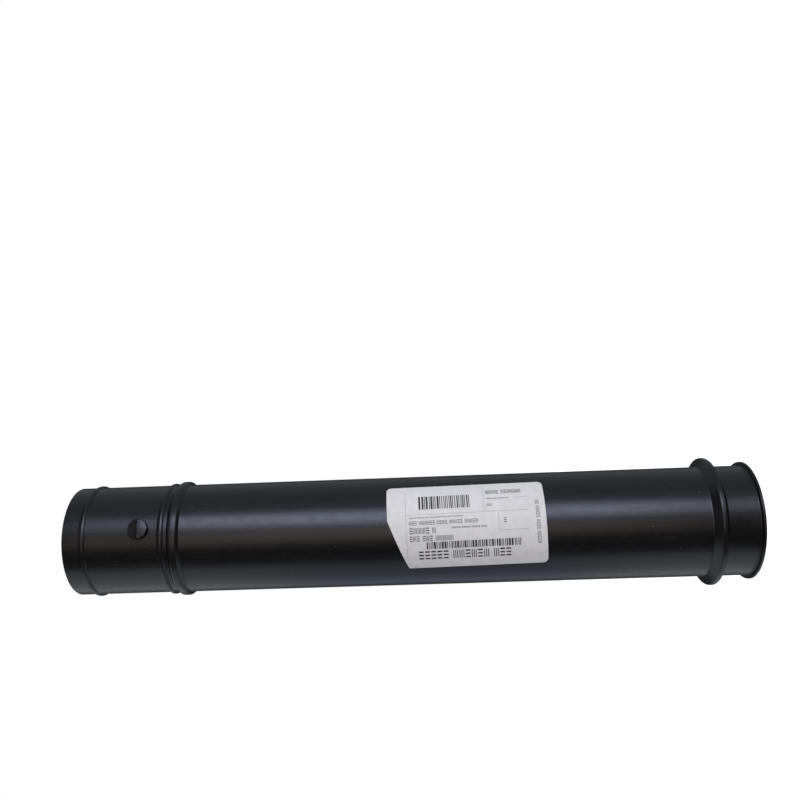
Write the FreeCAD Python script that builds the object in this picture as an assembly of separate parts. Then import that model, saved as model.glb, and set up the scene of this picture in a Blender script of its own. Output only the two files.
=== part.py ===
import FreeCAD, Part
import math
import os

# Air tube of a backpack leaf blower, blow-moulded in one piece from black polyethylene, with a
# paper parts label stuck on its barrel.
# Origin at the centre of the lipped end, which the tube stands on. +Z runs along the tube to the
# bayonet spigot, and -Y points out through one of the bayonet lugs. Millimetres throughout.

# Barrel, and the least width of the groove floors that its ribs leave in the bore
tube_length = 432.4
barrel_diameter = 70.0
wall = 1.6
groove_floor = 0.2

# Lip that keeps the hose on, at the lower end: solid, as it is too slim for the wall to follow
lip_height = 2.4
lip_land = 1.5
lip_flank_deg = 80.0

# Hose stop: a tall bead, steeper towards the hose neck than towards the barrel
stop_above_base = 25.2
stop_height = 5.7
stop_flat = 1.1
stop_crest_round = 1.6
stop_neck_flank_deg = 68.0
stop_barrel_flank_deg = 57.0

# Collar that the next tube's socket butts against
collar_below_top = 70.3
collar_height = 2.15
collar_flat = 2.1
collar_crest_round = 2.0
collar_flank_deg = 50.0

# Two slim sealing rings, one a narrow valley away from the collar and one near the spigot's rim
ring_height = 1.2
ring_crest_round = 2.0
ring_flank_deg = 45.0
ring_to_collar_valley = 2.0
rim_ring_below_top = 12.8

# Bayonet lugs: round studs whose half towards the spigot's rim is a lead-in ramp
lug_count = 2
lug_diameter = 13.2
lug_height = 3.0
lug_ramp_foot = 0.5
lug_edge_bevel = 0.6
lug_above_collar = 21.9

# Paper label, with rounded corners and one corner cut away
label_length = 97.4
label_width = 55.5
label_thickness = 0.15
label_glue = 0.12
label_corner_round = 3.2
label_cut_length = 12.0
label_cut_width = 31.5
label_cut_round = 0.6
label_below_top = 253.2
label_turn_deg = -5.0
label_tilt_deg = 1.1

barrel_radius = barrel_diameter / 2
collar_z = tube_length - collar_below_top
axis_z = FreeCAD.Vector(0, 0, 1)
sharp = 0.0
shortest_edge = 1e-6


def half_tan(angle_deg):
    return math.tan(math.radians(angle_deg) / 2)


def slope_run(rise, angle_deg):
    return rise / math.tan(math.radians(angle_deg))


def crest_reach(crest_round, flank_deg, depth):
    """How far one half of a rib's round crest reaches, `depth` under the tube's outer surface.

    It shrinks with depth, so the wall keeps its thickness on the rib's flanks.
    """
    return max((crest_round - depth) * half_tan(flank_deg), groove_floor / 2)


def rib_reach(height, flat, crest_round, flank_deg):
    """How far a rib reaches along the tube from its middle to its foot."""
    return flat / 2 + crest_reach(crest_round, flank_deg, 0.0) + slope_run(height, flank_deg)


def rib(middle_z, height, flat, crest_round, low_deg, high_deg, depth):
    """Corners (radius, z, round) of a ring-shaped rib, `depth` under the tube's outer surface."""
    foot = barrel_radius - depth
    crest = foot + height
    low_top = middle_z - flat / 2 - crest_reach(crest_round, low_deg, depth)
    high_top = middle_z + flat / 2 + crest_reach(crest_round, high_deg, depth)
    return [
        (foot, low_top - slope_run(height, low_deg), sharp),
        (crest, low_top, crest_round),
        (crest, high_top, crest_round),
        (foot, high_top + slope_run(height, high_deg), sharp),
    ]


def lip():
    """Corners of the lip, from its square-cut end up to the hose neck."""
    crest = barrel_radius + lip_height
    return [
        (crest, 0.0, sharp),
        (crest, lip_land, sharp),
        (barrel_radius, lip_land + slope_run(lip_height, lip_flank_deg), sharp),
    ]


def broad_ribs(depth):
    """Corners of the hose stop and the collar, which the wall follows inside and out."""
    corners = rib(stop_above_base, stop_height, stop_flat, stop_crest_round,
                  stop_neck_flank_deg, stop_barrel_flank_deg, depth)
    corners += rib(collar_z, collar_height, collar_flat, collar_crest_round,
                   collar_flank_deg, collar_flank_deg, depth)
    return corners


def slim_rings():
    """Corners of the two sealing rings, which are too slim to show in the bore."""
    beside_collar_z = collar_z + ring_to_collar_valley
    beside_collar_z += rib_reach(collar_height, collar_flat, collar_crest_round, collar_flank_deg)
    beside_collar_z += rib_reach(ring_height, 0.0, ring_crest_round, ring_flank_deg)
    corners = []
    for ring_z in (beside_collar_z, tube_length - rim_ring_below_top):
        corners += rib(ring_z, ring_height, 0.0, ring_crest_round, ring_flank_deg, ring_flank_deg, 0.0)
    return corners


def corner_bends(corners):
    """For each (x, y, round) corner of a closed flat outline: where its bend starts, the corner,
    where its bend ends, and the angle that the outline turns there.
    """
    points = [FreeCAD.Vector(x, y, 0) for x, y, _ in corners]
    bends = []
    for i, corner in enumerate(points):
        came = (corner - points[i - 1]).normalize()
        goes = (points[(i + 1) % len(points)] - corner).normalize()
        turn = came.getAngle(goes)
        reach = corners[i][2] * math.tan(turn / 2)
        bends.append((corner - came * reach, corner, corner + goes * reach, turn))
    return bends


def section_face(corners):
    """Face in the XZ plane inside (radius, z, round) corners, each one sharp or a round arc."""
    edges = []
    bends = corner_bends(corners)
    for i, (start, corner, end, turn) in enumerate(bends):
        corner_round = corners[i][2]
        next_start = bends[(i + 1) % len(bends)][0]
        if corner_round > sharp:
            inward = ((start + end) / 2 - corner).normalize()
            middle = corner + inward * (corner_round / math.cos(turn / 2) - corner_round)
            edges.append(Part.Arc(start, middle, end).toShape())
        if end.distanceToPoint(next_start) > shortest_edge:
            edges.append(Part.LineSegment(end, next_start).toShape())
    face = Part.Face(Part.Wire(edges))
    face.rotate(FreeCAD.Vector(), FreeCAD.Vector(1, 0, 0), 90)
    return face


def moulded_wall():
    """The tube without its lugs: the wall's section turned about the tube's axis."""
    bore_radius = barrel_radius - wall
    outside = lip() + broad_ribs(0.0) + slim_rings()
    inside = [(bore_radius, 0.0, sharp)]
    inside += [(radius, z, sharp) for radius, z, _ in broad_ribs(wall)]
    rim = [(barrel_radius, tube_length, sharp), (bore_radius, tube_length, sharp)]
    return section_face(outside + rim + inside[::-1]).revolve(FreeCAD.Vector(), axis_z, 360)


def lug_form(depth):
    """One lug on -Y, from the tube's axis out, `depth` under the lug's outer surface."""
    radius = lug_diameter / 2
    lug_z = collar_z + lug_above_collar
    top = barrel_radius + lug_height
    foot = barrel_radius + lug_ramp_foot
    stud = Part.makeCylinder(radius - depth, top, FreeCAD.Vector(0, 0, lug_z), FreeCAD.Vector(0, -1, 0))
    crown = Part.makeCylinder(top - depth, lug_diameter, FreeCAD.Vector(0, 0, lug_z - radius))
    drop = depth / math.cos(math.atan2(top - foot, radius))
    over_top = top + lug_height
    ramp_waste = Part.Face(Part.makePolygon([
        FreeCAD.Vector(-radius, drop - top, lug_z),
        FreeCAD.Vector(-radius, drop - foot, lug_z + radius),
        FreeCAD.Vector(-radius, -over_top, lug_z + radius),
        FreeCAD.Vector(-radius, -over_top, lug_z),
        FreeCAD.Vector(-radius, drop - top, lug_z),
    ])).extrude(FreeCAD.Vector(lug_diameter, 0, 0))
    return stud.common(crown).cut(ramp_waste)


def bevelled_lug():
    """The outside of one lug, with its proud edges bevelled."""
    form = lug_form(0.0)
    proud = []
    for edge in form.Edges:
        middle = edge.valueAt((edge.FirstParameter + edge.LastParameter) / 2)
        if math.hypot(middle.x, middle.y) > barrel_radius:
            proud.append(edge)
    inside = Part.makeCylinder(barrel_radius - wall / 2, tube_length)
    return form.makeChamfer(lug_edge_bevel, proud).cut(inside)


def blower_tube():
    """The whole moulding: wall, lugs and the pockets that the lugs leave on the inside."""
    tube = moulded_wall()
    lug = bevelled_lug()
    pocket = lug_form(wall)
    for i in range(lug_count):
        turn = FreeCAD.Rotation(axis_z, 360.0 * i / lug_count)
        placing = FreeCAD.Placement(FreeCAD.Vector(), turn).toMatrix()
        tube = tube.fuse(lug.transformed(placing)).cut(pocket.transformed(placing))
    return tube.removeSplitter()


def label_outline():
    """Flat outline of the label from its middle, as (along, across, round), spigot end first."""
    half_length = label_length / 2
    half_width = label_width / 2
    return [
        (-half_length, half_width, label_corner_round),
        (-half_length, -half_width + label_cut_width, label_cut_round),
        (-half_length + label_cut_length, -half_width, label_cut_round),
        (half_length, -half_width, label_corner_round),
        (half_length, half_width, label_corner_round),
    ]


def rolled_face(outline, radius):
    """The flat outline rolled on to a cylinder about the tube's axis.

    Along runs down the tube, and across runs round it from -Y towards +X.
    """
    surface = Part.Cylinder()
    surface.Radius = radius
    tilt = math.radians(label_tilt_deg)
    middle_z = tube_length - label_below_top
    middle_angle = math.radians(label_turn_deg - 90.0)

    def rolled(point):
        along = point.x * math.cos(tilt) - point.y * math.sin(tilt)
        across = point.x * math.sin(tilt) + point.y * math.cos(tilt)
        return FreeCAD.Base.Vector2d(middle_angle + across / barrel_radius, middle_z - along)

    edges = []
    bends = corner_bends(outline)
    for i, (start, corner, end, turn) in enumerate(bends):
        bend = Part.Geom2d.BezierCurve2d()
        bend.setPoles([rolled(start), rolled(corner), rolled(end)])
        bend.setWeight(2, math.cos(turn / 2))
        side = Part.Geom2d.Line2dSegment(rolled(end), rolled(bends[(i + 1) % len(bends)][0]))
        edges.append(bend.toShape(surface))
        edges.append(side.toShape(surface))
    return Part.Face(surface, Part.Wire(edges))


def paper_label():
    """The label's sheet, glued round the barrel."""
    outline = label_outline()
    back = rolled_face(outline, barrel_radius + label_glue)
    front = rolled_face(outline, barrel_radius + label_glue + label_thickness)
    edge_pairs = zip(back.OuterWire.OrderedEdges, front.OuterWire.OrderedEdges)
    sides = [Part.makeRuledSurface(low, high) for low, high in edge_pairs]
    sheet = Part.makeShell([back, front] + sides)
    sheet.sewShape()
    return Part.makeSolid(sheet)


os.makedirs("parts", exist_ok=True)
for node, make in (("blower_tube", blower_tube), ("paper_label", paper_label)):
    shape = make()
    shape.exportStep("parts/" + node + ".step")
    print(node, "solids", len(shape.Solids), "valid", shape.isValid(), "volume", round(shape.Volume, 2))
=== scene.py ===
"""Looks of a blow-moulded leaf blower tube and the paper label on its barrel.

The pieces are modelled in metres in the CAD frame: the tube stands on its lip at the origin,
+Z runs up to the bayonet spigot, and -Y points out through one of the bayonet lugs. Places round the
tube are angles from -Y towards +X.
"""

import logging
import math
import random
from dataclasses import dataclass, field
from enum import Enum
from itertools import pairwise

import bpy
from mathutils import Matrix, Vector

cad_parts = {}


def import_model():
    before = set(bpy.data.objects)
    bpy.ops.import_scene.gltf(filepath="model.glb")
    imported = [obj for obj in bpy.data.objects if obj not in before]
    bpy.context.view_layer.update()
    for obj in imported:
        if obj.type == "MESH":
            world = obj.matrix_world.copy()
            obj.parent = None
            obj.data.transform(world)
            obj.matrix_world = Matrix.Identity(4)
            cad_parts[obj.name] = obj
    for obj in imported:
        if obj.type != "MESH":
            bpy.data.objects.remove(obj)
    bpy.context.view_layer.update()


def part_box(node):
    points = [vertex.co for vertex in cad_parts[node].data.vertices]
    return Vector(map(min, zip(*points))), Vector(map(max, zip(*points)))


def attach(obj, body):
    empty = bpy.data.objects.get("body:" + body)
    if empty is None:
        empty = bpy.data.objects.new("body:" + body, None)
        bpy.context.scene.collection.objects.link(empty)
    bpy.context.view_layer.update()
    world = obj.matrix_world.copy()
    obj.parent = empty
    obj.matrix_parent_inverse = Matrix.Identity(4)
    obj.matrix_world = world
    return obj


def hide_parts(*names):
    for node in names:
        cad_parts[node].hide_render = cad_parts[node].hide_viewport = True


LOG = logging.getLogger("blower_tube")

MM = 0.001
MERGE_DISTANCE = 0.001 * MM
SHARP_EDGE_DEG = 28.0
LEAST_BEND_STEPS = 2


def deselect_all() -> None:
    """Leaves nothing selected, so that the next operator acts on its own piece alone."""
    bpy.ops.object.select_all(action="DESELECT")


def make_active(piece: bpy.types.Object) -> None:
    """Selects one piece and makes it the active one.

    Args:
        piece: The piece that the next operators act on.
    """
    deselect_all()
    piece.select_set(True)
    bpy.context.view_layer.objects.active = piece


def apply_modifier(piece: bpy.types.Object, modifier: bpy.types.Modifier) -> None:
    """Applies one modifier of a piece to its mesh.

    Args:
        piece: The piece that has the modifier.
        modifier: The modifier to apply.
    """
    make_active(piece)
    bpy.ops.object.modifier_apply(modifier=modifier.name)


def settle(piece: bpy.types.Object) -> None:
    """Moves a piece's place, turn and scale into its mesh.

    Args:
        piece: The piece, which then sits at the origin.
    """
    make_active(piece)
    bpy.ops.object.transform_apply(location=True, rotation=True, scale=True)


def shade_smooth(piece: bpy.types.Object) -> None:
    """Shades a piece smooth between its sharp edges.

    Args:
        piece: The modelled piece.
    """
    make_active(piece)
    bpy.ops.object.shade_smooth_by_angle(angle=math.radians(SHARP_EDGE_DEG))


def merge_doubles() -> None:
    """Merges the points of the piece in edit mode that lie on each other."""
    bpy.ops.mesh.select_all(action="SELECT")
    bpy.ops.mesh.remove_doubles(threshold=MERGE_DISTANCE)


def combine(piece: bpy.types.Object, tool: bpy.types.Object, operation: str) -> None:
    """Joins another solid to a piece, or cuts it away, and deletes that solid.

    Args:
        piece: The piece that is changed.
        tool: The solid that is joined on or cut away.
        operation: The boolean operation's name.
    """
    boolean = piece.modifiers.new("combine", "BOOLEAN")
    boolean.operation = operation
    boolean.solver = "EXACT"
    boolean.object = tool
    apply_modifier(piece, boolean)
    bpy.data.objects.remove(tool)


def round_tube(angle: float, radius: float, z: float) -> Vector:
    """A point at an angle round the tube.

    Args:
        angle: Angle from -Y towards +X, in radians.
        radius: Distance from the tube's axis.
        z: Height above the lip's end.

    Returns:
        The point in the CAD frame.
    """
    return Vector((radius * math.sin(angle), -radius * math.cos(angle), z))


@dataclass(frozen=True)
class Corner:
    """One corner of the wall's section, with the round that softens it."""

    radius: float
    z: float
    softness: float

    @property
    def point(self) -> Vector:
        """The corner's place in the section, radius first."""
        return Vector((self.radius, self.z))


def soften(corners: list[Corner], step_deg: float) -> list[Vector]:
    """Turns the corners of a closed section into a line with round bends.

    Args:
        corners: The section's corners, in order.
        step_deg: How far one step of a bend turns.

    Returns:
        The points of the line, as radius and z.
    """
    points: list[Vector] = []
    for i, corner in enumerate(corners):
        came = (corner.point - corners[i - 1].point).normalized()
        goes = (corners[(i + 1) % len(corners)].point - corner.point).normalized()
        turn = came.angle_signed(goes)
        if corner.softness == 0.0:
            points.append(corner.point)
            continue
        start = corner.point - came * corner.softness * math.tan(abs(turn) / 2)
        side = Vector((came.y, -came.x)) if turn > 0 else Vector((-came.y, came.x))
        centre = start + side * corner.softness
        steps = max(LEAST_BEND_STEPS, round(math.degrees(abs(turn)) / step_deg))
        for k in range(steps + 1):
            swing = Matrix.Rotation(-turn * k / steps, 2)
            points.append(centre + swing @ (start - centre))
    return [p for i, p in enumerate(points) if (p - points[i - 1]).length > MERGE_DISTANCE]


@dataclass(frozen=True)
class Rib:
    """The form of a ring-shaped rib of the moulded wall."""

    height: float
    flat: float
    crest_softness: float
    low_flank_deg: float
    high_flank_deg: float
    low_root_softness: float
    high_root_softness: float
    least_bend: float = 0.25 * MM

    def bend(self, depth: float) -> float:
        """Softness of the crest's corners, which shrinks with depth under the outer surface."""
        return max(self.crest_softness - depth, self.least_bend)

    def crest_reach(self, flank_deg: float, depth: float) -> float:
        """How far the crest reaches along the tube from the rib's middle, on one side."""
        return self.flat / 2 + self.bend(depth) * math.tan(math.radians(flank_deg) / 2)

    def foot_reach(self, flank_deg: float, depth: float) -> float:
        """How far the rib's foot lies along the tube from its middle, on one side."""
        return self.crest_reach(flank_deg, depth) + self.height / math.tan(math.radians(flank_deg))

    def corners(self, z: float, barrel_radius: float, depth: float) -> list[Corner]:
        """The rib's four corners, from its lower foot to its upper one.

        Args:
            z: Height of the rib's middle.
            barrel_radius: Outside radius of the barrel.
            depth: How far under the tube's outer surface the line runs.

        Returns:
            The corners of that line.
        """
        low = self.low_flank_deg
        high = self.high_flank_deg
        foot = barrel_radius - depth
        crest = foot + self.height
        return [
            Corner(foot, z - self.foot_reach(low, depth), self.low_root_softness + depth),
            Corner(crest, z - self.crest_reach(low, depth), self.bend(depth)),
            Corner(crest, z + self.crest_reach(high, depth), self.bend(depth)),
            Corner(foot, z + self.foot_reach(high, depth), self.high_root_softness + depth),
        ]


@dataclass
class MouldedTube:
    """The blow-moulded tube: one wall with a lip, ribs and hollow bayonet lugs."""

    length: float
    barrel_radius: float = 35.0 * MM
    wall: float = 1.6 * MM
    rim_softness: float = 0.35 * MM
    rim_band_ends: tuple[float, float] = (10.0 * MM, 1.0 * MM)
    lip_height: float = 2.4 * MM
    lip_land: float = 1.5 * MM
    lip_flank_deg: float = 80.0
    lip_edge_softness: float = 0.3 * MM
    lip_crest_softness: float = 0.4 * MM
    lip_root_softness: float = 0.6 * MM
    stop_above_base: float = 25.2 * MM
    stop: Rib = Rib(
        height=5.7 * MM,
        flat=1.1 * MM,
        crest_softness=1.6 * MM,
        low_flank_deg=68.0,
        high_flank_deg=57.0,
        low_root_softness=0.8 * MM,
        high_root_softness=1.3 * MM,
    )
    collar_below_top: float = 70.3 * MM
    collar: Rib = Rib(
        height=2.15 * MM,
        flat=2.1 * MM,
        crest_softness=2.0 * MM,
        low_flank_deg=50.0,
        high_flank_deg=50.0,
        low_root_softness=0.8 * MM,
        high_root_softness=0.5 * MM,
    )
    ring_to_collar_valley: float = 2.0 * MM
    rim_ring_below_top: float = 12.8 * MM
    ring: Rib = Rib(
        height=1.2 * MM,
        flat=0.0,
        crest_softness=2.0 * MM,
        low_flank_deg=45.0,
        high_flank_deg=45.0,
        low_root_softness=0.5 * MM,
        high_root_softness=0.5 * MM,
    )
    lug_above_collar: float = 21.9 * MM
    lug_radius: float = 6.6 * MM
    lug_height: float = 3.0 * MM
    lug_ramp_foot: float = 0.5 * MM
    lug_edge_softness: float = 0.5 * MM
    lug_edge_segments: int = 3
    lug_sharp_deg: float = 15.0
    lug_steps_round: int = 96
    lug_spare: float = 1.0 * MM
    lug_count: int = 2
    parting_line_width: float = 0.5 * MM
    parting_line_height: float = 0.08 * MM
    steps_round: int = 240
    bend_step_deg: float = 7.0

    @property
    def collar_z(self) -> float:
        """Height of the collar's middle."""
        return self.length - self.collar_below_top

    @property
    def lug_z(self) -> float:
        """Height of the lugs' middles."""
        return self.collar_z + self.lug_above_collar

    def broad_ribs(self) -> list[tuple[float, Rib]]:
        """The hose stop and the collar, which the wall follows inside too, with their heights."""
        return [(self.stop_above_base, self.stop), (self.collar_z, self.collar)]

    def slim_rings(self) -> list[tuple[float, Rib]]:
        """The two sealing rings, which don't show in the bore.

        Returns:
            Each ring with its height.
        """
        collar_foot = self.collar_z + self.collar.foot_reach(self.collar.high_flank_deg, 0.0)
        ring_foot = collar_foot + self.ring_to_collar_valley
        beside_collar_z = ring_foot + self.ring.foot_reach(self.ring.low_flank_deg, 0.0)
        return [(z, self.ring) for z in (beside_collar_z, self.length - self.rim_ring_below_top)]

    def lip(self) -> list[Corner]:
        """The lip's corners, from its cut end up to the hose neck.

        Returns:
            The corners of its outside.
        """
        crest = self.barrel_radius + self.lip_height
        foot = self.lip_land + self.lip_height / math.tan(math.radians(self.lip_flank_deg))
        return [
            Corner(crest, 0.0, self.lip_edge_softness),
            Corner(crest, self.lip_land, self.lip_crest_softness),
            Corner(self.barrel_radius, foot, self.lip_root_softness),
        ]

    def section(self) -> list[Vector]:
        """The wall's closed section, up the outside and down the inside.

        Returns:
            The points of the section, as radius and z.
        """
        outside = self.lip()
        for z, rib in self.broad_ribs() + self.slim_rings():
            outside += rib.corners(z, self.barrel_radius, 0.0)
        bore = self.barrel_radius - self.wall
        inside = [Corner(bore, 0.0, self.rim_softness)]
        for z, rib in self.broad_ribs():
            inside += rib.corners(z, self.barrel_radius, self.wall)
        # Points along the plain band keep its shading straight between the bends
        rim = [Corner(self.barrel_radius, self.length - below, 0.0) for below in self.rim_band_ends]
        rim += [
            Corner(self.barrel_radius, self.length, self.rim_softness),
            Corner(bore, self.length, self.rim_softness),
        ]
        return soften(outside + rim + inside[::-1], self.bend_step_deg)

    def spin_wall(self) -> bpy.types.Object:
        """Draws the section as a chain of edges and spins it round the tube's axis.

        Returns:
            The tube without its lugs.
        """
        section = self.section()
        deselect_all()
        bpy.ops.mesh.primitive_plane_add(size=self.wall)
        tube = bpy.context.object
        tube.name = "moulded_tube"
        bpy.ops.object.mode_set(mode="EDIT")
        bpy.ops.mesh.select_all(action="SELECT")
        bpy.ops.mesh.merge(type="CENTER")
        bpy.ops.transform.translate(value=(section[0].x, 0.0, section[0].y))
        for before, after in pairwise([*section, section[0]]):
            move = after - before
            bpy.ops.mesh.extrude_vertices_move(TRANSFORM_OT_translate={"value": (move.x, 0.0, move.y)})
        merge_doubles()
        bpy.ops.mesh.spin(steps=self.steps_round, angle=math.tau, center=(0, 0, 0), axis=(0, 0, 1))
        merge_doubles()
        bpy.ops.mesh.normals_make_consistent(inside=False)
        bpy.ops.object.mode_set(mode="OBJECT")
        return tube

    def raise_parting_line(self, tube: bpy.types.Object) -> None:
        """Raises the fine line that the two mould halves leave on +X and -X.

        Args:
            tube: The tube without its lugs.
        """
        make_active(tube)
        bpy.ops.object.mode_set(mode="EDIT")
        for side in (-1.0, 1.0):
            bpy.ops.mesh.select_all(action="SELECT")
            edge = (0.0, side * self.parting_line_width / 2, 0.0)
            bpy.ops.mesh.bisect(plane_co=edge, plane_no=(0.0, 1.0, 0.0))
        bpy.ops.object.mode_set(mode="OBJECT")
        for vertex in tube.data.vertices:
            outside = vertex.normal.x * vertex.co.x > 0.0
            if outside and abs(vertex.co.y) < MERGE_DISTANCE:
                vertex.co.x += math.copysign(self.parting_line_height, vertex.co.x)

    def lug(self, depth: float) -> bpy.types.Object:
        """Models one lug on -Y: a round stud with a crowned top and a lead-in ramp.

        Args:
            depth: How far under the lug's outer surface the form lies.

        Returns:
            The lug's solid, from inside the wall out.
        """
        top = self.barrel_radius + self.lug_height - depth
        inner = self.barrel_radius - (self.wall + self.lug_spare if depth else self.wall / 2)
        outer = top + depth + self.lug_spare
        deselect_all()
        bpy.ops.mesh.primitive_cylinder_add(
            vertices=self.lug_steps_round,
            radius=self.lug_radius - depth,
            depth=outer - inner,
            location=(0.0, -(outer + inner) / 2, self.lug_z),
            rotation=(math.radians(90.0), 0.0, 0.0),
        )
        stud = bpy.context.object
        settle(stud)
        bpy.ops.mesh.primitive_cylinder_add(
            vertices=self.steps_round,
            radius=top,
            depth=2 * (self.lug_radius + self.lug_spare),
            location=(0.0, 0.0, self.lug_z),
        )
        crown = bpy.context.object
        settle(crown)
        combine(stud, crown, "INTERSECT")
        make_active(stud)
        slope = math.atan2(self.lug_height - self.lug_ramp_foot, self.lug_radius)
        ridge_z = self.lug_z - depth * math.tan(slope / 2)
        bpy.ops.object.mode_set(mode="EDIT")
        merge_doubles()
        bpy.ops.mesh.select_all(action="SELECT")
        bpy.ops.mesh.bisect(plane_co=(0.0, 0.0, ridge_z), plane_no=(0.0, 0.0, 1.0))
        bpy.ops.object.mode_set(mode="OBJECT")
        for vertex in stud.data.vertices:
            if vertex.co.z > ridge_z and vertex.co.xy.length > self.barrel_radius:
                vertex.co.y += math.tan(slope) * (vertex.co.z - ridge_z)
        return stud

    def soften_lug(self, stud: bpy.types.Object) -> None:
        """Bevels the proud edges of a lug.

        Args:
            stud: The lug's solid.
        """
        make_active(stud)
        bpy.ops.object.mode_set(mode="EDIT")
        bpy.ops.mesh.select_mode(type="EDGE")
        bpy.ops.mesh.select_all(action="DESELECT")
        bpy.ops.mesh.edges_select_sharp(sharpness=math.radians(self.lug_sharp_deg))
        bpy.ops.object.mode_set(mode="OBJECT")
        mesh = stud.data
        for edge in mesh.edges:
            middle = (mesh.vertices[edge.vertices[0]].co + mesh.vertices[edge.vertices[1]].co) / 2
            if middle.xy.length < self.barrel_radius:
                edge.select = False
        bpy.ops.object.mode_set(mode="EDIT")
        bpy.ops.mesh.bevel(
            offset=self.lug_edge_softness, segments=self.lug_edge_segments, affect="EDGES"
        )
        bpy.ops.mesh.select_mode(type="VERT")
        bpy.ops.object.mode_set(mode="OBJECT")

    def spread_lugs(self, stud: bpy.types.Object) -> bpy.types.Object:
        """Copies one lug to all its places round the tube.

        Args:
            stud: The lug on -Y.

        Returns:
            All the lugs as one object.
        """
        copies = []
        for i in range(1, self.lug_count):
            copy = stud.copy()
            copy.data = stud.data.copy()
            copy.data.transform(Matrix.Rotation(math.tau * i / self.lug_count, 4, "Z"))
            bpy.context.scene.collection.objects.link(copy)
            copies.append(copy)
        make_active(stud)
        for copy in copies:
            copy.select_set(True)
        bpy.ops.object.join()
        return stud

    def build(self) -> bpy.types.Object:
        """Models the whole moulding.

        Returns:
            The tube as one closed piece.
        """
        tube = self.spin_wall()
        self.raise_parting_line(tube)
        outside = self.lug(0.0)
        self.soften_lug(outside)
        combine(tube, self.spread_lugs(outside), "UNION")
        combine(tube, self.spread_lugs(self.lug(self.wall)), "DIFFERENCE")
        make_active(tube)
        bpy.ops.object.mode_set(mode="EDIT")
        merge_doubles()
        bpy.ops.object.mode_set(mode="OBJECT")
        shade_smooth(tube)
        return tube

    def dress(self, tube: bpy.types.Object, finish: "SatinPlastic") -> None:
        """Gives the tube its finish and its place in the frame.

        Args:
            tube: The finished tube.
            finish: The plastic's finish.
        """
        tube.data.materials.clear()
        tube.data.materials.append(finish.material())
        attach(tube, "root")
        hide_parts("blower_tube")


class Ink(Enum):
    """Tones of the label's print, each with its material slot."""

    BLACK = 0
    GREY = 1


class RowStyle(Enum):
    """How a row of print is drawn."""

    STRIPS = "strips"
    HATCHES = "hatches"


class Hatch(Enum):
    """Patches of lines that stand for printed characters."""

    UPRIGHT = "upright"
    LEVEL = "level"


@dataclass(frozen=True)
class Mark:
    """One printed block, from the label's middle: along the tube, and across towards +X."""

    along: float
    across: float
    length: float
    height: float
    ink: Ink


@dataclass(frozen=True)
class BarBlock:
    """A block of upright bars of mixed widths, with bars and gaps in millimetres."""

    start: float
    across: float
    length: float
    height: float
    bars_mm: tuple[float, ...] = (0.5, 0.5, 0.8, 1.2)
    gaps_mm: tuple[float, ...] = (0.45, 0.45, 0.8)

    def marks(self, draw: random.Random) -> list[Mark]:
        """Draws the block's bars.

        Args:
            draw: Where the widths come from.

        Returns:
            The bars.
        """
        bars = []
        reach = 0.0
        while reach < self.length:
            width = draw.choice(self.bars_mm) * MM
            bars.append(Mark(self.start + reach + width / 2, self.across, width, self.height, Ink.BLACK))
            reach += width + draw.choice(self.gaps_mm) * MM
        return bars


@dataclass(frozen=True)
class PrintRow:
    """A row of plain strips or hatched patches that stands for a line of print.

    Widths and gaps along the row are shares of its height.
    """

    start: float
    across: float
    length: float
    height: float
    ink: Ink
    style: RowStyle
    turned: bool = False
    strip_shares: tuple[float, float] = (2.0, 6.0)
    patch_share: float = 0.55
    patch_gap_share: float = 0.15
    word_gap_share: float = 0.4
    word_patches: tuple[int, int] = (3, 6)
    line_share: float = 0.18

    def mark(self, middle: float, rise: float, length: float, height: float) -> Mark:
        """Places one block of the row.

        Args:
            middle: The block's middle, along the row from its start.
            rise: The block's middle, up from the row's middle.
            length: Its length along the row.
            height: Its height.

        Returns:
            The block, across the label where the row is turned.
        """
        if self.turned:
            return Mark(self.across - rise, self.start + middle, height, length, self.ink)
        return Mark(self.start + middle, self.across + rise, length, height, self.ink)

    def hatched(self, hatch: Hatch, middle: float, width: float) -> list[Mark]:
        """Draws one patch of three lines.

        Args:
            hatch: Which way the lines run.
            middle: The patch's middle, along the row from its start.
            width: Its width.

        Returns:
            The lines.
        """
        upright = hatch is Hatch.UPRIGHT
        span = width if upright else self.height
        line = self.line_share * span
        step = (span - line) / 2
        if upright:
            return [self.mark(middle + i * step, 0.0, line, self.height) for i in (-1, 0, 1)]
        return [self.mark(middle, i * step, width, line) for i in (-1, 0, 1)]

    def marks(self, draw: random.Random) -> list[Mark]:
        """Draws the row word by word.

        Args:
            draw: Where the words' lengths and hatches come from.

        Returns:
            The row's blocks.
        """
        marks = []
        reach = 0.0
        while reach < self.length - self.height:
            if self.style is RowStyle.STRIPS:
                width = min(draw.uniform(*self.strip_shares) * self.height, self.length - reach)
                marks.append(self.mark(reach + width / 2, 0.0, width, self.height))
                reach += width
            else:
                width = self.patch_share * self.height
                for _ in range(draw.randint(*self.word_patches)):
                    if reach + width <= self.length:
                        marks += self.hatched(draw.choice(list(Hatch)), reach + width / 2, width)
                        reach += width + self.patch_gap_share * self.height
            reach += self.word_gap_share * self.height
        return marks


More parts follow.
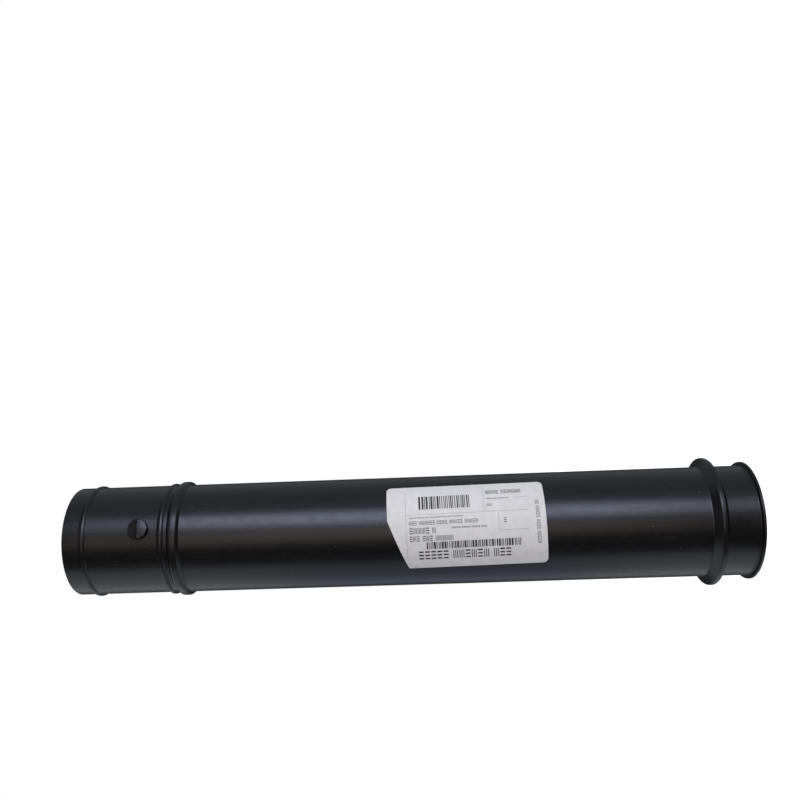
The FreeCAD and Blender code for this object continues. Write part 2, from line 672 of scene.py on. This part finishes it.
@dataclass
class PaperLabel:
    """The parts label: a paper sheet on the barrel, with generic print."""

    barrel_radius: float
    tube_length: float
    length: float = 97.4 * MM
    width: float = 55.5 * MM
    thickness: float = 0.15 * MM
    glue: float = 0.12 * MM
    corner_softness: float = 3.2 * MM
    corner_segments: int = 8
    cut_length: float = 12.0 * MM
    cut_width: float = 31.5 * MM
    cut_softness: float = 0.6 * MM
    below_top: float = 253.2 * MM
    turn_deg: float = -5.0
    tilt_deg: float = 1.1
    bend_line_gap: float = 1.2 * MM
    ink_thickness: float = 0.02 * MM
    ink_sink: float = 0.005 * MM
    hairline: float = 0.24 * MM
    seed: int = 11

    @property
    def front_radius(self) -> float:
        """Radius of the paper's printed face."""
        return self.barrel_radius + self.glue + self.thickness

    def roll_on(self, piece: bpy.types.Object, radius: float, thickness: float) -> None:
        """Bends a flat piece round the barrel and gives it its thickness.

        Args:
            piece: A flat piece in the label's own plane, along X and across Y.
            radius: Radius of its outer face once rolled.
            thickness: Its thickness, inwards from that face.
        """
        piece.data.transform(Matrix.Rotation(math.radians(self.tilt_deg), 4, "Z"))
        make_active(piece)
        bpy.ops.object.mode_set(mode="EDIT")
        lines = math.ceil(self.width / self.bend_line_gap)
        for i in range(-lines // 2, lines // 2 + 1):
            bpy.ops.mesh.select_all(action="SELECT")
            bpy.ops.mesh.bisect(plane_co=(0.0, i * self.bend_line_gap, 0.0), plane_no=(0.0, 1.0, 0.0))
        bpy.ops.object.mode_set(mode="OBJECT")
        turn = math.radians(self.turn_deg)
        middle_z = self.tube_length - self.below_top
        for vertex in piece.data.vertices:
            angle = turn + vertex.co.y / self.barrel_radius
            vertex.co = round_tube(angle, radius, middle_z - vertex.co.x)
        solidify = piece.modifiers.new("thickness", "SOLIDIFY")
        solidify.thickness = thickness
        solidify.offset = -1.0
        apply_modifier(piece, solidify)
        shade_smooth(piece)

    def round_corners(
        self, paper: bpy.types.Object, square: Vector, on_square: bool, softness: float
    ) -> None:
        """Rounds the flat sheet's square corners or the corners of its cut.

        Args:
            paper: The flat sheet.
            square: Half the sheet's length and width.
            on_square: Whether the square corners are rounded, or all the others.
            softness: How far back along the edges the round starts.
        """
        make_active(paper)
        bpy.ops.object.mode_set(mode="EDIT")
        bpy.ops.mesh.select_mode(type="VERT")
        bpy.ops.mesh.select_all(action="DESELECT")
        bpy.ops.object.mode_set(mode="OBJECT")
        for vertex in paper.data.vertices:
            off = Vector((abs(vertex.co.x), abs(vertex.co.y))) - square
            vertex.select = (off.length < MERGE_DISTANCE) == on_square
        bpy.ops.object.mode_set(mode="EDIT")
        bpy.ops.mesh.bevel(offset=softness, segments=self.corner_segments, affect="VERTICES")
        bpy.ops.object.mode_set(mode="OBJECT")

    def build_paper(self) -> bpy.types.Object:
        """Cuts the sheet to its outline and sticks it on the barrel.

        Returns:
            The paper's piece.
        """
        half_length = self.length / 2
        half_width = self.width / 2
        deselect_all()
        bpy.ops.mesh.primitive_plane_add(size=1.0)
        paper = bpy.context.object
        paper.name = "label_paper"
        bpy.ops.object.mode_set(mode="EDIT")
        bpy.ops.transform.resize(value=(self.length, self.width, 1.0))
        bpy.ops.mesh.select_all(action="SELECT")
        cut_foot = Vector((-half_length + self.cut_length, -half_width, 0.0))
        bpy.ops.mesh.bisect(
            plane_co=cut_foot,
            plane_no=(-self.cut_width, -self.cut_length, 0.0),
            clear_outer=True,
        )
        bpy.ops.object.mode_set(mode="OBJECT")
        square = Vector((half_length, half_width))
        self.round_corners(paper, square, False, self.cut_softness)
        self.round_corners(paper, square, True, self.corner_softness)
        self.roll_on(paper, self.front_radius, self.thickness)
        return paper

    def rules(self) -> list[Mark]:
        """The thin rules that divide the label.

        Returns:
            The rules' marks.
        """
        hairline = self.hairline
        return [
            Mark(-37.2 * MM, 1.1 * MM, hairline, 44.6 * MM, Ink.GREY),
            Mark(0.7 * MM, 6.8 * MM, 76.0 * MM, hairline, Ink.GREY),
            Mark(11.3 * MM, 16.3 * MM, hairline, 18.6 * MM, Ink.GREY),
            Mark(19.8 * MM, 0.9 * MM, hairline, 11.4 * MM, Ink.GREY),
            Mark(28.5 * MM, -5.0 * MM, 18.1 * MM, hairline, Ink.GREY),
            Mark(33.9 * MM, 15.5 * MM, 9.2 * MM, hairline, Ink.GREY),
        ]

    def layout(self) -> list[Mark]:
        """Places the print: rules, bars and rows of blocks.

        Returns:
            All the marks on the label.
        """
        strips = RowStyle.STRIPS
        hatches = RowStyle.HATCHES
        blocks = [
            BarBlock(-29.0 * MM, 14.6 * MM, 32.0 * MM, 9.0 * MM),
            BarBlock(-25.2 * MM, -12.4 * MM, 57.5 * MM, 4.4 * MM),
            PrintRow(12.9 * MM, 20.3 * MM, 23.9 * MM, 3.0 * MM, Ink.BLACK, hatches),
            PrintRow(12.9 * MM, 15.4 * MM, 14.0 * MM, 0.9 * MM, Ink.GREY, strips),
            PrintRow(12.9 * MM, 11.0 * MM, 3.4 * MM, 1.6 * MM, Ink.BLACK, hatches),
            PrintRow(-35.2 * MM, 4.9 * MM, 34.0 * MM, 0.8 * MM, Ink.GREY, strips),
            PrintRow(-35.2 * MM, 1.6 * MM, 42.5 * MM, 2.4 * MM, Ink.BLACK, hatches),
            PrintRow(-35.2 * MM, -3.1 * MM, 18.4 * MM, 3.6 * MM, Ink.BLACK, hatches),
            PrintRow(-9.6 * MM, -2.0 * MM, 22.0 * MM, 1.1 * MM, Ink.GREY, strips),
            PrintRow(22.9 * MM, 1.0 * MM, 3.0 * MM, 2.8 * MM, Ink.BLACK, hatches),
            PrintRow(-35.4 * MM, -7.9 * MM, 28.0 * MM, 3.2 * MM, Ink.BLACK, hatches),
            PrintRow(-30.2 * MM, -18.6 * MM, 58.3 * MM, 5.4 * MM, Ink.BLACK, hatches),
            PrintRow(-14.1 * MM, 43.8 * MM, 28.4 * MM, 2.2 * MM, Ink.BLACK, hatches, turned=True),
        ]
        draw = random.Random(self.seed)
        marks = self.rules()
        for block in blocks:
            marks += block.marks(draw)
        return marks

    def build_print(self) -> bpy.types.Object:
        """Lays the printed marks on the paper.

        Returns:
            The print's piece, its inks in material slots.
        """
        deselect_all()
        bpy.ops.mesh.primitive_plane_add(size=1.0)
        printed = bpy.context.object
        printed.name = "label_print"
        for ink in Ink:
            printed.data.materials.append(bpy.data.materials.new(ink.name))
        bpy.ops.object.mode_set(mode="EDIT")
        bpy.ops.mesh.select_all(action="SELECT")
        bpy.ops.mesh.delete(type="VERT")
        for mark in self.layout():
            middle = (mark.along, mark.across, 0.0)
            bpy.ops.mesh.primitive_plane_add(size=1.0, location=middle)
            bpy.ops.transform.resize(value=(mark.length, mark.height, 1.0), center_override=middle)
            printed.active_material_index = mark.ink.value
            bpy.ops.object.material_slot_assign()
        bpy.ops.object.mode_set(mode="OBJECT")
        self.roll_on(printed, self.front_radius + self.ink_thickness, self.ink_thickness + self.ink_sink)
        return printed

    def dress(
        self, paper: bpy.types.Object, printed: bpy.types.Object, sheet: "Paper", inks: "PrintInk"
    ) -> None:
        """Gives the label's pieces their finishes and their place in the frame.

        Args:
            paper: The paper's piece.
            printed: The print's piece.
            sheet: The paper's finish.
            inks: The print's finish.
        """
        paper.data.materials.clear()
        paper.data.materials.append(sheet.material())
        for ink in Ink:
            printed.data.materials[ink.value] = inks.material(ink)
        for piece in (paper, printed):
            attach(piece, "root")
        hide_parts("paper_label")


class NodeBench:
    """A material's node tree, with short calls to add and join nodes."""

    def __init__(self, name: str) -> None:
        """Starts a material with one surface shader.

        Args:
            name: The material's name.
        """
        self.material = bpy.data.materials.new(name)
        self.material.use_nodes = True
        self.nodes = self.material.node_tree.nodes
        self.shader = self.nodes["Principled BSDF"]

    def add(self, kind: str, **settings: object) -> bpy.types.Node:
        """Adds a node.

        Args:
            kind: The node's type name.
            **settings: Values of its own properties.

        Returns:
            The new node.
        """
        node = self.nodes.new(kind)
        for name, value in settings.items():
            setattr(node, name, value)
        return node

    def join(self, source: bpy.types.NodeSocket, target: bpy.types.NodeSocket) -> None:
        """Joins an output to an input."""
        self.material.node_tree.links.new(source, target)

    def noise(
        self, scale: float, detail: float, stretch: tuple[float, float, float] = (1.0, 1.0, 1.0)
    ) -> bpy.types.NodeSocket:
        """Adds a noise pattern on the piece's own coordinates.

        Args:
            scale: Waves per metre.
            detail: How many finer layers it has.
            stretch: Scale of the pattern along each axis.

        Returns:
            The pattern's value.
        """
        place = self.add("ShaderNodeTexCoord")
        mapping = self.add("ShaderNodeMapping")
        mapping.inputs["Scale"].default_value = stretch
        pattern = self.add("ShaderNodeTexNoise")
        pattern.inputs["Scale"].default_value = scale
        pattern.inputs["Detail"].default_value = detail
        self.join(place.outputs["Object"], mapping.inputs["Vector"])
        self.join(mapping.outputs["Vector"], pattern.inputs["Vector"])
        return pattern.outputs["Fac"]

    def span(
        self, value: bpy.types.NodeSocket, low: float, high: float, to_low: float, to_high: float
    ) -> bpy.types.NodeSocket:
        """Maps a value from one range to another, held at its ends.

        Args:
            value: The value to map.
            low: The range's low end.
            high: The range's high end.
            to_low: What the low end becomes.
            to_high: What the high end becomes.

        Returns:
            The mapped value.
        """
        node = self.add("ShaderNodeMapRange")
        ends = {"From Min": low, "From Max": high, "To Min": to_low, "To Max": to_high}
        for name, number in ends.items():
            node.inputs[name].default_value = number
        self.join(value, node.inputs["Value"])
        return node.outputs["Result"]

    def specks(
        self, scale: float, size: float, share: float, core: float = 0.6, fade: float = 0.05
    ) -> bpy.types.NodeSocket:
        """Adds sparse round specks on the piece's own coordinates.

        Args:
            scale: Cells per metre, with a speck in some of them.
            size: A speck's radius, as a share of a cell.
            share: How many cells stay clean, from 0 to 1.
            core: How much of a speck's radius is full, before its edge fades.
            fade: Share of the cells whose specks are fainter.

        Returns:
            The specks' mask, from 0 to 1.
        """
        place = self.add("ShaderNodeTexCoord")
        cells = self.add("ShaderNodeTexVoronoi")
        cells.inputs["Scale"].default_value = scale
        self.join(place.outputs["Object"], cells.inputs["Vector"])
        spot = self.span(cells.outputs["Distance"], size * core, size, 1.0, 0.0)
        lot = self.add("ShaderNodeSeparateColor")
        self.join(cells.outputs["Color"], lot.inputs["Color"])
        chosen = self.span(lot.outputs["Red"], share, share + fade, 0.0, 1.0)
        both = self.add("ShaderNodeMath", operation="MULTIPLY")
        self.join(spot, both.inputs[0])
        self.join(chosen, both.inputs[1])
        return both.outputs["Value"]

    def blend(
        self,
        share: bpy.types.NodeSocket,
        first: bpy.types.NodeSocket | tuple[float, float, float],
        second: tuple[float, float, float],
    ) -> bpy.types.NodeSocket:
        """Blends two colours.

        Args:
            share: How much of the second colour there is.
            first: The first colour, or where it comes from.
            second: The second colour.

        Returns:
            The blended colour.
        """
        node = self.add("ShaderNodeMix", data_type="RGBA")
        self.join(share, node.inputs["Factor"])
        if isinstance(first, tuple):
            node.inputs["A"].default_value = (*first, 1.0)
        else:
            self.join(first, node.inputs["A"])
        node.inputs["B"].default_value = (*second, 1.0)
        return node.outputs["Result"]

    def bump(
        self, height: bpy.types.NodeSocket, distance: float, under: bpy.types.NodeSocket | None = None
    ) -> bpy.types.NodeSocket:
        """Adds a bump.

        Args:
            height: The bump's height, from 0 to 1.
            distance: What a height of 1 stands for, in metres.
            under: The normal that it is laid on, if there is one.

        Returns:
            The bumped normal.
        """
        node = self.add("ShaderNodeBump")
        node.inputs["Distance"].default_value = distance
        self.join(height, node.inputs["Height"])
        if under is not None:
            self.join(under, node.inputs["Normal"])
        return node.outputs["Normal"]


@dataclass(frozen=True)
class SatinPlastic:
    """Black polyethylene with the satin grain of a blasted mould, hairline scuffs and some dust."""

    colour: tuple[float, float, float] = (0.0028, 0.0028, 0.0030)
    scuff_colour: tuple[float, float, float] = (0.010, 0.010, 0.011)
    dust_colour: tuple[float, float, float] = (0.11, 0.11, 0.11)
    refraction: float = 1.5
    roughness: float = 0.32
    mottle_scale: float = 240.0
    mottle_detail: float = 4.0
    mottle_edge: tuple[float, float] = (0.3, 0.7)
    mottle_drop: float = 0.03
    mottle_rise: float = 0.04
    scuff_scale: float = 1600.0
    scuff_detail: float = 1.0
    scuff_stretch: tuple[float, float, float] = (1.0, 1.0, 0.05)
    scuff_edge: tuple[float, float] = (0.66, 0.74)
    scuff_dulling: float = 0.10
    dust_scale: float = 150.0
    dust_size: float = 0.055
    dust_free_share: float = 0.6
    grain_scale: float = 1100.0
    grain_detail: float = 2.0
    grain_depth: float = 0.006 * MM
    wave_scale: float = 60.0
    wave_detail: float = 1.0
    wave_depth: float = 0.03 * MM

    def material(self) -> bpy.types.Material:
        """Builds the plastic's material.

        Returns:
            The material.
        """
        bench = NodeBench("satin_black_plastic")
        shader = bench.shader
        shader.inputs["IOR"].default_value = self.refraction
        scratches = bench.noise(self.scuff_scale, self.scuff_detail, self.scuff_stretch)
        scuffs = bench.span(scratches, *self.scuff_edge, 0.0, 1.0)
        dust = bench.specks(self.dust_scale, self.dust_size, self.dust_free_share)
        scuffed = bench.blend(scuffs, self.colour, self.scuff_colour)
        bench.join(bench.blend(dust, scuffed, self.dust_colour), shader.inputs["Base Color"])
        smoothest = self.roughness - self.mottle_drop
        roughest = self.roughness + self.mottle_rise
        patches = bench.noise(self.mottle_scale, self.mottle_detail)
        mottle = bench.span(patches, *self.mottle_edge, smoothest, roughest)
        dulled = bench.add("ShaderNodeMath", operation="MULTIPLY_ADD")
        dulled.inputs[1].default_value = self.scuff_dulling
        bench.join(scuffs, dulled.inputs[0])
        bench.join(mottle, dulled.inputs[2])
        bench.join(dulled.outputs["Value"], shader.inputs["Roughness"])
        uneven = bench.bump(bench.noise(self.wave_scale, self.wave_detail), self.wave_depth)
        grain = bench.noise(self.grain_scale, self.grain_detail)
        bench.join(bench.bump(grain, self.grain_depth, uneven), shader.inputs["Normal"])
        return bench.material


@dataclass(frozen=True)
class Paper:
    """Uncoated white label paper, faintly mottled."""

    colour: tuple[float, float, float] = (0.685, 0.675, 0.645)
    mottle_colour: tuple[float, float, float] = (0.635, 0.625, 0.595)
    roughness: float = 0.62
    mottle_scale: float = 220.0
    mottle_detail: float = 5.0
    mottle_edge: tuple[float, float] = (0.35, 0.65)
    fibre_scale: float = 900.0
    fibre_detail: float = 5.0
    fibre_depth: float = 0.012 * MM

    def material(self) -> bpy.types.Material:
        """Builds the paper's material.

        Returns:
            The material.
        """
        bench = NodeBench("label_paper")
        shader = bench.shader
        shader.inputs["Roughness"].default_value = self.roughness
        patches = bench.noise(self.mottle_scale, self.mottle_detail)
        mottle = bench.span(patches, *self.mottle_edge, 0.0, 1.0)
        bench.join(bench.blend(mottle, self.colour, self.mottle_colour), shader.inputs["Base Color"])
        fibres = bench.noise(self.fibre_scale, self.fibre_detail)
        bench.join(bench.bump(fibres, self.fibre_depth), shader.inputs["Normal"])
        return bench.material


@dataclass(frozen=True)
class PrintInk:
    """Thermal print in two tones, a little uneven."""

    black: tuple[float, float, float] = (0.020, 0.020, 0.020)
    worn_black: tuple[float, float, float] = (0.075, 0.074, 0.072)
    grey: tuple[float, float, float] = (0.33, 0.32, 0.31)
    worn_grey: tuple[float, float, float] = (0.46, 0.45, 0.43)
    roughness: float = 0.55
    wear_scale: float = 700.0
    wear_detail: float = 3.0
    wear_edge: tuple[float, float] = (0.45, 0.75)

    def material(self, ink: Ink) -> bpy.types.Material:
        """Builds one ink's material.

        Args:
            ink: The tone.

        Returns:
            The material.
        """
        bench = NodeBench("print_" + ink.name.lower())
        full, worn = (self.black, self.worn_black) if ink is Ink.BLACK else (self.grey, self.worn_grey)
        bench.shader.inputs["Roughness"].default_value = self.roughness
        patches = bench.noise(self.wear_scale, self.wear_detail)
        wear = bench.span(patches, *self.wear_edge, 0.0, 1.0)
        bench.join(bench.blend(wear, full, worn), bench.shader.inputs["Base Color"])
        return bench.material


@dataclass(frozen=True)
class StripLight:
    """A soft light panel along the tube, at an angle round it from the camera's side."""

    name: str
    angle_deg: float
    distance: float
    width: float
    length: float
    brightness: float
    colour: tuple[float, float, float]
    z: float = 0.216
    rise_deg: float = 0.0
    mirrored: bool = True


@dataclass
class Studio:
    """Floor, lights, backdrop and camera."""

    eye: tuple[float, float, float] = (-0.09529, -0.52538, 0.19629)
    ahead: tuple[float, float, float] = (0.29884, 0.95331, 0.04342)
    upward: tuple[float, float, float] = (0.95401, -0.29733, -0.03814)
    focal_pixels: float = 807.7
    picture_side: float = 800.0
    sensor_width: float = 36.0
    clip_start: float = 0.01
    centre_drop_pixels: float = 30.0
    camera_side_deg: float = -10.0
    room_grey: float = 0.05
    floor_side: float = 6.0
    floor_grey: float = 0.8
    floor_roughness: float = 0.9
    watts_per_square_metre: float = 4.0
    panels: list[StripLight] = field(
        default_factory=lambda: [
            StripLight("key_panel", 31.0, 0.80, 0.34, 0.84, 4.5, (0.71, 0.78, 1.0), 0.244),
            StripLight("neck_panel", 31.0, 0.80, 0.34, 0.26, 2.1, (0.84, 0.88, 1.0), -0.420),
            StripLight("ceiling_panel", 100.0, 0.50, 1.00, 1.60, 0.26, (0.80, 0.88, 1.0)),
            StripLight("front_panel", -3.0, 0.90, 0.40, 0.96, 0.88, (1.0, 0.80, 0.70), 0.330),
            StripLight("table_panel_low", -102.0, 0.45, 0.70, 0.60, 0.60, (0.90, 0.94, 1.0), -0.280),
            StripLight("table_panel_middle", -102.0, 0.45, 0.70, 0.35, 0.50, (0.66, 0.78, 1.0), 0.195),
            StripLight("table_panel_high", -102.0, 0.45, 0.70, 0.65, 0.60, (0.90, 0.94, 1.0), 0.695),
            StripLight("back_panel", 180.0, 0.80, 0.25, 1.60, 0.70, (0.90, 0.94, 1.0)),
            StripLight("end_panel", 30.0, 0.75, 0.36, 0.36, 0.25, (0.86, 0.84, 1.0), rise_deg=75.0),
            StripLight("fill_panel", 28.0, 0.90, 0.50, 0.90, 0.62, (1.0, 0.72, 0.05), mirrored=False),
        ]
    )

    def add_floor(self) -> None:
        """Lays a plain pale floor under the tube."""
        deselect_all()
        bpy.ops.mesh.primitive_plane_add(size=self.floor_side)
        floor = bpy.context.object
        floor.name = "floor"
        bench = NodeBench("pale_floor")
        shader = bench.shader
        shader.inputs["Base Color"].default_value = (*[self.floor_grey] * 3, 1.0)
        shader.inputs["Roughness"].default_value = self.floor_roughness
        shader.inputs["Emission Color"].default_value = (1.0, 1.0, 1.0, 1.0)
        light_path = bench.add("ShaderNodeLightPath")
        bench.join(light_path.outputs["Is Camera Ray"], shader.inputs["Emission Strength"])
        floor.data.materials.append(bench.material)
        floor.visible_glossy = False
        floor.visible_shadow = False

    def add_backdrop(self) -> None:
        """Makes the world white to the camera and a dim grey room to the tube."""
        world = bpy.data.worlds.new("backdrop")
        bpy.context.scene.world = world
        world.use_nodes = True
        nodes = world.node_tree.nodes
        links = world.node_tree.links
        light_path = nodes.new("ShaderNodeLightPath")
        white = nodes.new("ShaderNodeBackground")
        white.inputs["Color"].default_value = (1.0, 1.0, 1.0, 1.0)
        room = nodes["Background"]
        room.inputs["Color"].default_value = (*[self.room_grey] * 3, 1.0)
        mix = nodes.new("ShaderNodeMixShader")
        links.new(light_path.outputs["Is Camera Ray"], mix.inputs["Fac"])
        links.new(room.outputs["Background"], mix.inputs[1])
        links.new(white.outputs["Background"], mix.inputs[2])
        links.new(mix.outputs["Shader"], nodes["World Output"].inputs["Surface"])

    def add_panel(self, panel: StripLight) -> None:
        """Hangs one light panel, facing the tube.

        Args:
            panel: The panel's sizes and place.
        """
        light = bpy.data.lights.new(panel.name, "AREA")
        light.shape = "RECTANGLE"
        light.size = panel.width
        light.size_y = panel.length
        light.energy = self.watts_per_square_metre * panel.width * panel.length * panel.brightness
        light.color = panel.colour
        hung = bpy.data.objects.new(panel.name, light)
        bpy.context.scene.collection.objects.link(hung)
        angle = math.radians(self.camera_side_deg + panel.angle_deg)
        rise = math.radians(panel.rise_deg)
        outward = round_tube(angle, math.cos(rise), math.sin(rise))
        along = round_tube(angle, -math.sin(rise), math.cos(rise))
        turn = Matrix((along.cross(outward), along, outward)).transposed()
        place = outward * panel.distance + Vector((0.0, 0.0, panel.z))
        hung.matrix_world = Matrix.Translation(place) @ turn.to_4x4()
        hung.visible_camera = False
        hung.visible_glossy = panel.mirrored

    def add_camera(self) -> None:
        """Sets the camera where the picture is taken from."""
        lens = bpy.data.cameras.new("camera")
        lens.sensor_width = self.sensor_width
        lens.lens = self.sensor_width * self.focal_pixels / self.picture_side
        lens.shift_y = self.centre_drop_pixels / self.picture_side
        lens.clip_start = self.clip_start
        camera = bpy.data.objects.new("camera", lens)
        bpy.context.scene.collection.objects.link(camera)
        back = -Vector(self.ahead).normalized()
        right = Vector(self.upward).cross(back).normalized()
        turn = Matrix((right, back.cross(right), back)).transposed()
        camera.matrix_world = Matrix.Translation(Vector(self.eye)) @ turn.to_4x4()
        bpy.context.scene.camera = camera

    def build(self) -> None:
        """Sets up the whole studio."""
        self.add_floor()
        self.add_backdrop()
        for panel in self.panels:
            self.add_panel(panel)
        self.add_camera()
        bpy.context.scene.view_settings.view_transform = "Standard"


def main() -> None:
    """Builds the pieces, dresses them and sets up the studio."""
    logging.basicConfig(level=logging.INFO)
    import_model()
    deselect_all()
    moulding = MouldedTube(length=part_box("blower_tube")[1].z)
    tube = moulding.build()
    moulding.dress(tube, SatinPlastic())
    LOG.info("%s: %d faces", tube.name, len(tube.data.polygons))
    label = PaperLabel(moulding.barrel_radius, moulding.length)
    paper = label.build_paper()
    printed = label.build_print()
    label.dress(paper, printed, Paper(), PrintInk())
    for piece in (paper, printed):
        LOG.info("%s: %d faces", piece.name, len(piece.data.polygons))
    Studio().build()


if __name__ == "__main__":
    main()
